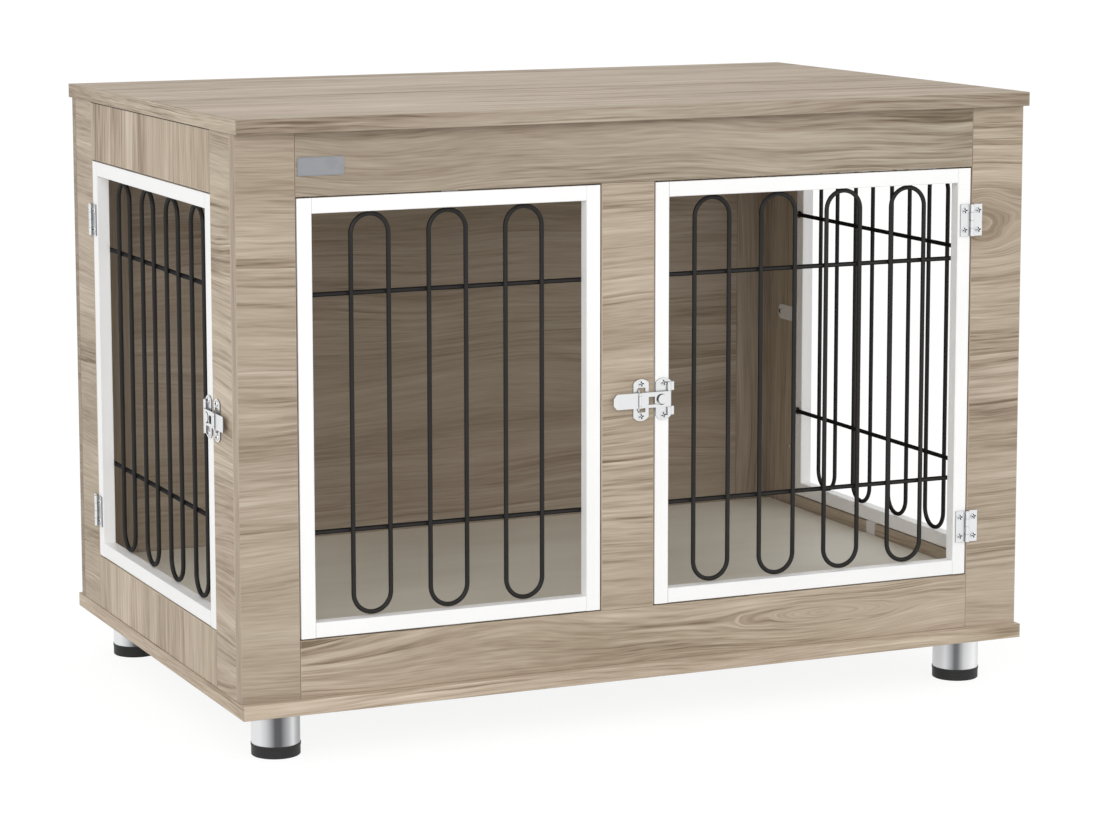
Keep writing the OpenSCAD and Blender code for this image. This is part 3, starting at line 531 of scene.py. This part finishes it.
def dress_boards():
    """Every board has its own seed, and its grain runs as the photographed one's."""
    # Tones and bands are partly each board's own colour and partly painted light and shade for the way it faces.
    laminate_board("top_board", 1.4, tone=0.87, contrast=1.2, bands=(0.84, 1.13))
    laminate_board("base_board", 2.3, tone=1.0, bands=(1.05, 1.12))
    laminate_board("back_panel", 3.6, tone=0.70, figure=0.06, contrast=0.65, turned_ends=BACK_STRIP_W)
    laminate_board("front_top_rail", 4.7, tone=0.70, figure=0.065, contrast=1.1)
    laminate_board("front_bottom_rail", 5.9, tone=0.93, figure=0.08, knot=(0.20, 0.004, 0.012),
                   knot_stretch=9.0, knot_share=0.45)
    laminate_board("front_left_post", 6.2, across=True, tone=0.82, contrast=0.9)
    laminate_board("front_right_post", 7.4, across=True, tone=0.87, knot=(-0.014, 0.160, 0.024),
                   knot_share=0.5, knot_core=0.22)
    laminate_board("front_center_stile", 8.8, across=True, tone=0.89, contrast=0.9)
    laminate_board("left_front_post", 9.6, across=True, tone=0.97, figure=0.075, ripple=0.004)
    laminate_board("left_rear_post", 10.9, across=True, tone=0.93, ripple=0.005, contrast=0.85)
    laminate_board("left_top_rail", 11.5, across=True, tone=1.04, contrast=0.95,
                   gap_over=CARCASS_TOP - SIDE_GAP)
    laminate_board("left_bottom_rail", 12.1, across=True, tone=1.03)
    laminate_board("right_front_post", 13.7, tone=0.9)
    laminate_board("right_rear_post", 14.2, tone=0.77, contrast=0.8)
    laminate_board("right_top_rail", 15.8, tone=0.9)
    laminate_board("right_bottom_rail", 16.4, tone=0.9, contrast=0.6)
    laminate_board("floor_bearers", 17.3)


def dress_floor_panel():
    """Plain grey-beige floor laminate with faint cloudy patches."""
    material, tree, surface = new_material("floor_laminate")
    where = add(tree, "TexCoord").outputs["Object"]
    skin = use(tree, COAT_SKIN, Point=where, Grain_Size=1.2 * MM)
    patches = cloud(tree, calc_vector(tree, "MULTIPLY", where, (4.0, 14.0, 4.0)), 2.0)
    colour = shades(tree, patches, [(0.35, paint(228, 222, 208)), (0.65, paint(236, 232, 219))])
    grime = calc(tree, "MULTIPLY", skin["Speck"], 0.08)
    colour = pick(tree, grime, colour, paint(150, 142, 128))
    feed(tree, surface["Base Color"], colour)
    feed(tree, surface["Roughness"], calc(tree, "MULTIPLY_ADD", skin["Cloud"], 0.14, 0.42))
    relief(tree, surface, skin["Height"], 0.2, 0.1 * MM)
    put(material, "floor_panel")


def white_lacquer(name, nodes, length_axis=None):
    """White lacquer on the frames. Rails show a hair line where they butt against the stiles,
    at both ends of their length axis."""
    material, tree, surface = new_material(name)
    where = add(tree, "TexCoord").outputs["Object"]
    skin = use(tree, COAT_SKIN, Point=where, Grain_Size=1.5 * MM)
    colour = shades(tree, skin["Cloud"], [(0.3, paint(248, 248, 247)), (0.7, paint(252, 252, 251))])
    if length_axis is not None:
        low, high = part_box(nodes[0])
        middle = (low[length_axis] + high[length_axis]) / 2
        half = (high[length_axis] - low[length_axis]) / 2
        off_middle = calc(tree, "ABSOLUTE", calc(tree, "SUBTRACT", parts_of(tree, where)[length_axis], middle))
        from_end = calc(tree, "SUBTRACT", half, off_middle)
        line = fade_out(tree, from_end, 0.1 * MM, 0.7 * MM)
        colour = pick(tree, calc(tree, "MULTIPLY", line, 0.5), colour, paint(196, 196, 198))
    feed(tree, surface["Base Color"], colour)
    feed(tree, surface["Roughness"], calc(tree, "MULTIPLY_ADD", skin["Height"], 0.10, 0.30))
    relief(tree, surface, skin["Height"], 0.15, 0.15 * MM)
    put(material, *nodes)


def dress_frames():
    white_lacquer("white_stiles", ["front_window_stiles", "front_door_stiles",
                                   "side_door_stiles", "right_window_stiles"])
    white_lacquer("white_rails_front_window", ["front_window_rails"], X_AXIS)
    white_lacquer("white_rails_front_door", ["front_door_rails"], X_AXIS)
    white_lacquer("white_rails_side_door", ["side_door_rails"], Y_AXIS)
    white_lacquer("white_rails_right_window", ["right_window_rails"], Y_AXIS)


def powder_coat(name, nodes, axis, face, inward):
    """Black powder coat, faintly pebbled and dusty. Painted shade makes a wire darker and duller towards its
    sides, leaving a paler painted highlight along its front, and makes the cross wires blacker; they are also
    duller.
    They lie deepest inward, along the axis, from the carcass face."""
    material, tree, surface = new_material(name)
    where = add(tree, "TexCoord").outputs["Object"]
    skin = use(tree, COAT_SKIN, Point=where, Grain_Size=0.7 * MM)
    colour = shades(tree, skin["Cloud"], [(0.3, paint(27, 25, 24)), (0.7, paint(36, 34, 32))])
    colour = pick(tree, calc(tree, "MULTIPLY", skin["Speck"], 0.25), colour, paint(70, 68, 68))
    # Painted shade: the cross wires, lying deepest, are painted blacker.
    inside = calc(tree, "MULTIPLY", calc(tree, "SUBTRACT", parts_of(tree, where)[axis], face), inward)
    deep = fade(tree, inside, CROSS_WIRE_FROM, CROSS_WIRE_FROM + CROSS_WIRE_STEP)
    colour = pick(tree, deep, colour, paint(14, 13, 13))
    # Painted shade on a wire's sides, with a paler painted highlight along the side that faces front.
    normal = add(tree, "TexCoord").outputs["Normal"]
    painted_flank_shade = fade_out(tree, calc(tree, "ABSOLUTE", dot(tree, normal, WIRE_HIGHLIGHT_FACING)), 0.3, 0.75)
    colour = pick(tree, calc(tree, "MULTIPLY", painted_flank_shade, 0.85), colour, paint(8, 8, 8))
    feed(tree, surface["Base Color"], colour)
    dullness = calc(tree, "MULTIPLY_ADD", calc(tree, "MAXIMUM", painted_flank_shade, deep), 0.4, 0.34)
    feed(tree, surface["Roughness"], calc(tree, "MULTIPLY_ADD", skin["Height"], 0.2, dullness))
    surface["Specular IOR Level"].default_value = 0.25
    relief(tree, surface, skin["Height"], 0.3, 0.12 * MM)
    put(material, *nodes)


def dress_grilles():
    powder_coat("black_coat_front", ["front_window_grille", "front_door_grille"], Y_AXIS, FRONT, 1.0)
    powder_coat("black_coat_left", ["side_door_grille"], X_AXIS, LEFT, 1.0)
    powder_coat("black_coat_right", ["right_window_grille"], X_AXIS, RIGHT, -1.0)


def metal(name, colour, dark, rough, stretch, duller=0.35):
    """A bare metal with drawn lines and duller smudges. Its tree, sockets and colour come with it,
    for what goes on top."""
    material, tree, surface = new_material(name)
    where = add(tree, "TexCoord").outputs["Object"]
    brushed = use(tree, BRUSHED_LINES, Point=where, Stretch=stretch)
    dull = fade(tree, brushed["Smudge"], 0.5, 0.75)
    tint = pick(tree, calc(tree, "MULTIPLY", brushed["Lines"], 0.5), colour, dark)
    tint = pick(tree, calc(tree, "MULTIPLY", dull, duller), tint, dark)
    feed(tree, surface["Base Color"], tint)
    surface["Metallic"].default_value = 1.0
    feed(tree, surface["Roughness"], calc(tree, "MULTIPLY_ADD", brushed["Lines"], 0.18, rough))
    relief(tree, surface, brushed["Lines"], 0.12, 0.08 * MM)
    return material, tree, surface, tint


def sheet_nickel(name, axis):
    """Bright nickel on stamped sheet whose faces look along an axis, with painted shade on the cut edges and roll
    sides.
    """
    material, tree, surface, tint = metal(
        name, paint(234, 235, 235), paint(214, 215, 217), 0.24, BRUSHED, duller=0.25)
    normal = add(tree, "TexCoord").outputs["Normal"]
    facing = calc(tree, "ABSOLUTE", parts_of(tree, normal)[axis])
    # Painted shade on the cut edges and the sides of the rolls.
    painted_edge_shade = fade_out(tree, facing, *EDGE_SHADE_FACING)
    feed(tree, surface["Base Color"], pick(tree, painted_edge_shade, tint, paint(132, 132, 135)))
    return material


def drawn_tube():
    """Drawn steel of the leg tubes, with a painted reflection in its colour: a dark strip between bright ones
    runs down each tube, set by which way the surface faces.
    """
    material, tree, surface, tint = metal(
        "drawn_tube", paint(250, 250, 250), paint(238, 238, 239), 0.26, DRAWN_TUBE)
    coords = add(tree, "TexCoord").outputs
    place = calc(tree, "MULTIPLY_ADD", dot(tree, coords["Normal"], TUBE_REFLECTION_ACROSS), 0.5, 0.5)
    # Painted reflection: bright and dark strips down the tubes, one pattern for the legs at left and one for
    # those at right.
    left_legs_reflection = shades(tree, place, [
        (0.0, paint(238, 238, 239)), (0.20, paint(236, 237, 238)), (0.34, paint(206, 207, 208)),
        (0.41, paint(176, 176, 178)), (0.52, paint(100, 100, 102)), (0.63, paint(98, 98, 100)),
        (0.79, paint(186, 187, 188)), (0.87, paint(232, 233, 234)), (0.97, paint(172, 173, 175))])
    right_legs_reflection = shades(tree, place, [
        (0.0, paint(216, 217, 218)), (0.12, paint(218, 219, 220)), (0.22, paint(230, 231, 232)),
        (0.31, paint(186, 187, 189)), (0.42, paint(110, 110, 112)), (0.49, paint(120, 120, 122)),
        (0.63, paint(212, 213, 214)), (0.86, paint(250, 250, 250)), (0.98, paint(226, 227, 228))])
    right_leg = calc(tree, "GREATER_THAN", parts_of(tree, coords["Object"])[X_AXIS], 0.0)
    painted_reflection = pick(tree, right_leg, left_legs_reflection, right_legs_reflection)
    feed(tree, surface["Base Color"], pick(tree, 1.0, tint, painted_reflection, blend="MULTIPLY"))
    return material


def matt_zinc():
    """Dull light zinc of the brackets behind the windows."""
    material, tree, surface = new_material("matt_zinc")
    where = add(tree, "TexCoord").outputs["Object"]
    brushed = use(tree, BRUSHED_LINES, Point=where, Stretch=BRUSHED)
    tint = pick(tree, calc(tree, "MULTIPLY", brushed["Lines"], 0.5), paint(222, 220, 216), paint(204, 202, 198))
    dull = calc(tree, "MULTIPLY", fade(tree, brushed["Smudge"], 0.5, 0.75), 0.3)
    feed(tree, surface["Base Color"], pick(tree, dull, tint, paint(190, 188, 184)))
    feed(tree, surface["Roughness"], calc(tree, "MULTIPLY_ADD", brushed["Lines"], 0.2, 0.45))
    relief(tree, surface, brushed["Lines"], 0.12, 0.08 * MM)
    return material


def dress_hardware():
    nickel = {"front": sheet_nickel("bright_nickel_front", Y_AXIS),
              "side": sheet_nickel("bright_nickel_side", X_AXIS)}
    for side, finish in nickel.items():
        put(finish, *[side + piece for piece in (
            "_hinge_post_leaves", "_hinge_door_leaves",
            "_latch_keeper", "_latch_plate", "_latch_flap", "_latch_lever")])
    put(matt_zinc(), "front_window_brackets", "right_window_brackets")
    steel = metal("steel_pins", paint(190, 190, 192), paint(140, 140, 143), 0.25, DRAWN_PIN)[0]
    put(steel, "front_hinge_pins", "side_hinge_pins", "front_latch_flap_pin", "front_latch_lever_pin",
        "side_latch_flap_pin", "side_latch_lever_pin", "leg_bolts")
    put(drawn_tube(), "leg_tubes")


def dress_feet():
    """Black moulded caps under the legs."""
    material, tree, surface = new_material("black_moulded_foot")
    where = add(tree, "TexCoord").outputs["Object"]
    skin = use(tree, COAT_SKIN, Point=where, Grain_Size=0.8 * MM)
    colour = shades(tree, skin["Cloud"], [(0.3, paint(30, 29, 29)), (0.7, paint(39, 38, 38))])
    colour = pick(tree, calc(tree, "MULTIPLY", skin["Speck"], 0.3), colour, paint(74, 72, 70))
    feed(tree, surface["Base Color"], colour)
    feed(tree, surface["Roughness"], calc(tree, "MULTIPLY_ADD", skin["Height"], 0.2, 0.42))
    surface["Specular IOR Level"].default_value = 0.35
    relief(tree, surface, skin["Height"], 0.3, 0.15 * MM)
    put(material, "leg_feet")


# Pieces made here

HEAD_H = 1.1 * MM
SHANK_R = 1.4 * MM
# A pan head from its flat top to its underside: radius and height as shares of the head's
HEAD_PROFILE = ((0.86, 1.0), (0.94, 0.9), (1.0, 0.4), (1.0, 0.0))
# Reach and half width of the recess as shares of the head's radius
RECESS_REACH = 0.80
RECESS_HALF_W = 0.20
RECESS_DEPTH = 0.7 * MM
RECESS_TURN = math.radians(10)
SCREW_SIDES = 24
POST_SCREW_AT = (434 * MM, 218.6 * MM, 182.2 * MM)
POST_SCREW_LEN = 8 * MM
POST_SCREW_HEAD_R = 2.2 * MM
PLATE_W, PLATE_H, PLATE_T = 48.7 * MM, 18.6 * MM, 0.9 * MM
PLATE_X, PLATE_Z = -359.3 * MM, 600.9 * MM
PLATE_CORNER_R = 1.3 * MM
PLATE_RIM = 0.6 * MM
PLATE_ROLL_W, PLATE_ROLL_DEPTH = 0.3 * MM, 0.25 * MM


def finished_mesh(bm, name):
    """Turns a bmesh into a mesh and lets it go."""
    mesh = bpy.data.meshes.new(name)
    bm.to_mesh(mesh)
    bm.free()
    return mesh


def new_piece(name, mesh, body, materials):
    """A piece of its own that rides on a body."""
    piece = bpy.data.objects.new(name, mesh)
    bpy.context.scene.collection.objects.link(piece)
    for material in materials:
        mesh.materials.append(material)
    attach(piece, body)
    return piece


def loose_solids(node):
    """The corner points of each separate solid in a CAD node."""
    shell = bmesh.new()
    shell.from_mesh(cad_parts[node].data)
    bmesh.ops.remove_doubles(shell, verts=shell.verts, dist=WELD)
    waiting = dict.fromkeys(shell.verts)
    solids = []
    while waiting:
        start = next(iter(waiting))
        waiting.pop(start)
        reached, points = [start], []
        while reached:
            corner = reached.pop()
            points.append(corner.co.copy())
            for edge in corner.link_edges:
                other = edge.other_vert(corner)
                if other in waiting:
                    waiting.pop(other)
                    reached.append(other)
        solids.append(points)
    shell.free()
    return solids


def screw_shape(length, head_r):
    """A pan-head screw standing on z = 0, head up, with a cross recess whose arms are material 1,
    which is painted with the recess's shade.
    """
    bm = bmesh.new()
    profile = [(head_r * out, HEAD_H * up) for out, up in HEAD_PROFILE]
    profile += [(SHANK_R, 0.0), (SHANK_R, -length + 2 * SHANK_R), (0.1 * SHANK_R, -length)]
    corners = [bm.verts.new((radius, 0.0, height)) for radius, height in profile]
    edges = [bm.edges.new(pair) for pair in zip(corners, corners[1:])]
    bmesh.ops.spin(bm, geom=corners + edges, cent=(0, 0, 0), axis=(0, 0, 1), angle=math.tau,
                   steps=SCREW_SIDES, use_merge=True)
    bmesh.ops.remove_doubles(bm, verts=bm.verts, dist=WELD)
    tip = [v for v in bm.verts if v.co.z < -length + WELD]
    bmesh.ops.contextual_create(bm, geom=tip)
    rim = [e for e in bm.edges if e.is_boundary]
    reach = RECESS_REACH * head_r
    grid = bmesh.ops.create_grid(bm, x_segments=3, y_segments=3, size=reach)["verts"]
    for corner in grid:
        corner.co.z = HEAD_H
        for axis in (0, 1):
            if abs(corner.co[axis]) < reach / 2:
                corner.co[axis] = math.copysign(RECESS_HALF_W * head_r, corner.co[axis])
    for corner in grid:
        if min(abs(corner.co.x), abs(corner.co.y)) > reach / 2:
            corner.co.x *= 0.7
            corner.co.y *= 0.7
    flat = dict.fromkeys(f for v in grid for f in v.link_faces)
    cross = [f for f in flat
             if min(abs(f.calc_center_median().x), abs(f.calc_center_median().y)) < WELD]
    sunk = bmesh.ops.extrude_face_region(bm, geom=cross)["geom"]
    floor = [g for g in sunk if isinstance(g, bmesh.types.BMVert)]
    bmesh.ops.translate(bm, vec=(0, 0, -RECESS_DEPTH), verts=floor)
    bmesh.ops.delete(bm, geom=cross, context="FACES_ONLY")
    flat_rim = [e for e in bm.edges if e.is_boundary and e not in rim]
    bmesh.ops.subdivide_edges(bm, edges=flat_rim, cuts=1)
    flat_rim = [e for e in bm.edges if e.is_boundary and e not in rim]
    bmesh.ops.bridge_loops(bm, edges=rim + flat_rim)
    bmesh.ops.recalc_face_normals(bm, faces=bm.faces)
    for face in bm.faces:
        middle = face.calc_center_median()
        off_axis = math.hypot(middle.x, middle.y)
        face.smooth = abs(face.normal.z) < 0.9 and middle.z < HEAD_H
        if 0 < middle.z < HEAD_H - WELD and WELD < off_axis < reach + WELD:
            face.material_index = 1
    return finished_mesh(bm, "screw")


def detailed_screws(node, body, materials):
    """Stands for a node of plain screws: the same places and sizes, with recessed heads."""
    bm = bmesh.new()
    for points in loose_solids(node):
        low = Vector([min(p[axis] for p in points) for axis in range(3)])
        high = Vector([max(p[axis] for p in points) for axis in range(3)])
        size, middle = high - low, (low + high) / 2
        main = max(range(3), key=lambda axis: size[axis])

        def off_axis(point):
            return math.hypot(*[point[axis] - middle[axis] for axis in range(3) if axis != main])
        widest = max(points, key=off_axis)
        outward = Vector([0.0, 0.0, 0.0])
        outward[main] = math.copysign(1.0, widest[main] - middle[main])
        head_top = middle + outward * size[main] / 2
        shape = screw_shape(size[main] - HEAD_H, off_axis(widest))
        turn = outward.to_track_quat("Z", "Y").to_matrix().to_4x4()
        spin = Matrix.Rotation(RECESS_TURN, 4, "Z")
        place = Matrix.Translation(head_top - outward * HEAD_H)
        shape.transform(place @ turn @ spin)
        bm.from_mesh(shape)
        bpy.data.meshes.remove(shape)
    name = node + "_recessed"
    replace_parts(new_piece(name, finished_mesh(bm, name), body, materials), node)


def post_screw(materials):
    """The small screw on the inner face of the right rear post."""
    mesh = screw_shape(POST_SCREW_LEN, POST_SCREW_HEAD_R)
    mesh.transform(Matrix.Translation(POST_SCREW_AT) @ Matrix.Rotation(-math.pi / 2, 4, "Y"))
    new_piece("rear_post_screw", mesh, "crate", materials)


def make_screws():
    """All screws, in bright nickel with painted shade in the recess."""
    materials = [metal("screw_nickel", paint(232, 233, 234), paint(206, 207, 210), 0.22, BRUSHED)[0],
                 # Material 1 paints shade into the recesses.
                 metal("screw_recess_shade", paint(36, 36, 39), paint(26, 26, 29), 0.4, BRUSHED)[0]]
    detailed_screws("crate_screws", "crate", materials)
    detailed_screws("front_door_screws", "front_door", materials)
    detailed_screws("side_door_screws", "side_door", materials)
    post_screw(materials)


def badge_plate():
    """A bare grey metal plate on the front top rail, with a rolled edge."""
    bm = bmesh.new()
    bmesh.ops.create_cube(bm, size=1.0)
    bmesh.ops.scale(bm, vec=(PLATE_W, PLATE_T, PLATE_H), verts=bm.verts)
    corners = [e for e in bm.edges if abs(e.verts[0].co.y - e.verts[1].co.y) > WELD]
    bmesh.ops.bevel(bm, geom=corners, offset=PLATE_CORNER_R, affect="EDGES", segments=4, profile=0.5, material=-1)
    front = [f for f in bm.faces if f.normal.y < -0.9]
    bmesh.ops.inset_region(bm, faces=front, thickness=PLATE_RIM, depth=0.0)
    bmesh.ops.inset_region(bm, faces=front, thickness=PLATE_ROLL_W, depth=-PLATE_ROLL_DEPTH)
    bmesh.ops.translate(bm, vec=(PLATE_X, FRONT - PLATE_T / 2, PLATE_Z), verts=bm.verts)
    grey = metal("badge_grey", paint(160, 161, 165), paint(140, 141, 145), 0.34, DRAWN_PLATE)[0]
    new_piece("badge_plate", finished_mesh(bm, "badge_plate"), "crate", [grey])


# Studio: floor, light and camera

LIGHT_LEVEL = 0.84
LAMP_AIM = (0.0, 0.0, 0.3)
KEY_AT, KEY_SIZE, KEY_POWER = (-2.4, -3.4, 2.2), 2.4, 52.0
FILL_AT, FILL_SIZE, FILL_POWER = (3.4, -2.2, 1.6), 1.6, 14.0
FLOOR_HALF = 30.0
# The floor as light bounces off it, and its shaded and self-lit parts as it is seen
FLOOR_BOUNCE = (0.82, 0.82, 0.82, 1.0)
FLOOR_SHADED = (0.15, 0.15, 0.15, 1.0)
FLOOR_GLOW = 0.895
LENS = 110.47
SENSOR_W = 36.0
LENS_SHIFT = (0.0318, -0.073)
CAMERA_AT = (-1.5081, -3.3982, 0.9067)
CAMERA_TURN = (81.915, 0.148, -23.55)


def seen_directly(tree):
    """1 for what the camera, a reflection or a see-through part sees, 0 for light bouncing about."""
    path = add(tree, "LightPath").outputs
    seen = calc(tree, "MAXIMUM", path["Is Camera Ray"], path["Is Glossy Ray"])
    return calc(tree, "MAXIMUM", seen, path["Is Transmission Ray"])


def pale_floor():
    """A floor that is seen white, but keeps the shadow and bounces plain grey light."""
    bm = bmesh.new()
    bmesh.ops.create_grid(bm, x_segments=1, y_segments=1, size=FLOOR_HALF)
    mesh = finished_mesh(bm, "studio_floor")
    floor = bpy.data.objects.new("studio_floor", mesh)
    bpy.context.scene.collection.objects.link(floor)
    material = bpy.data.materials.new("pale_floor")
    material.use_nodes = True
    tree = material.node_tree
    tree.nodes.clear()
    bounce = add(tree, "BsdfDiffuse")
    bounce.inputs["Color"].default_value = FLOOR_BOUNCE
    shaded = add(tree, "BsdfDiffuse")
    shaded.inputs["Color"].default_value = FLOOR_SHADED
    glow = add(tree, "Emission")
    glow.inputs["Strength"].default_value = FLOOR_GLOW
    shown = add(tree, "AddShader")
    feed(tree, shown.inputs[0], shaded.outputs[0])
    feed(tree, shown.inputs[1], glow.outputs[0])
    choice = add(tree, "MixShader")
    feed(tree, choice.inputs[0], seen_directly(tree))
    feed(tree, choice.inputs[1], bounce.outputs[0])
    feed(tree, choice.inputs[2], shown.outputs[0])
    feed(tree, add(tree, "OutputMaterial").inputs[0], choice.outputs[0])
    mesh.materials.append(material)


def studio_world():
    """Even light from all round, seen as white."""
    world = bpy.data.worlds.new("studio")
    bpy.context.scene.world = world
    world.use_nodes = True
    tree = world.node_tree
    sky = tree.nodes["Background"]
    sky.inputs["Color"].default_value = (1.0, 1.0, 1.0, 1.0)
    feed(tree, sky.inputs["Strength"], pick(tree, seen_directly(tree), LIGHT_LEVEL, 1.0, "FLOAT"))


def soft_box(name, place, size, power):
    """A square lamp that looks at the crate."""
    lamp = bpy.data.lights.new(name, "AREA")
    lamp.shape = "SQUARE"
    lamp.size = size
    lamp.energy = power
    holder = bpy.data.objects.new(name, lamp)
    bpy.context.scene.collection.objects.link(holder)
    holder.location = place
    holder.rotation_euler = (Vector(LAMP_AIM) - Vector(place)).to_track_quat("-Z", "Y").to_euler()


def camera():
    """The photograph's view, with half of the lens shift that its crop shows."""
    lens = bpy.data.cameras.new("camera")
    lens.sensor_width = SENSOR_W
    lens.lens = LENS
    lens.shift_x, lens.shift_y = LENS_SHIFT
    holder = bpy.data.objects.new("camera", lens)
    bpy.context.scene.collection.objects.link(holder)
    holder.location = CAMERA_AT
    holder.rotation_euler = [math.radians(angle) for angle in CAMERA_TURN]
    bpy.context.scene.camera = holder


camera()
dress_boards()
dress_floor_panel()
dress_frames()
dress_grilles()
dress_hardware()
dress_feet()
make_screws()
badge_plate()
pale_floor()
studio_world()
soft_box("key", KEY_AT, KEY_SIZE, KEY_POWER)
soft_box("fill", FILL_AT, FILL_SIZE, FILL_POWER)
bpy.context.scene.view_settings.view_transform = "Standard"
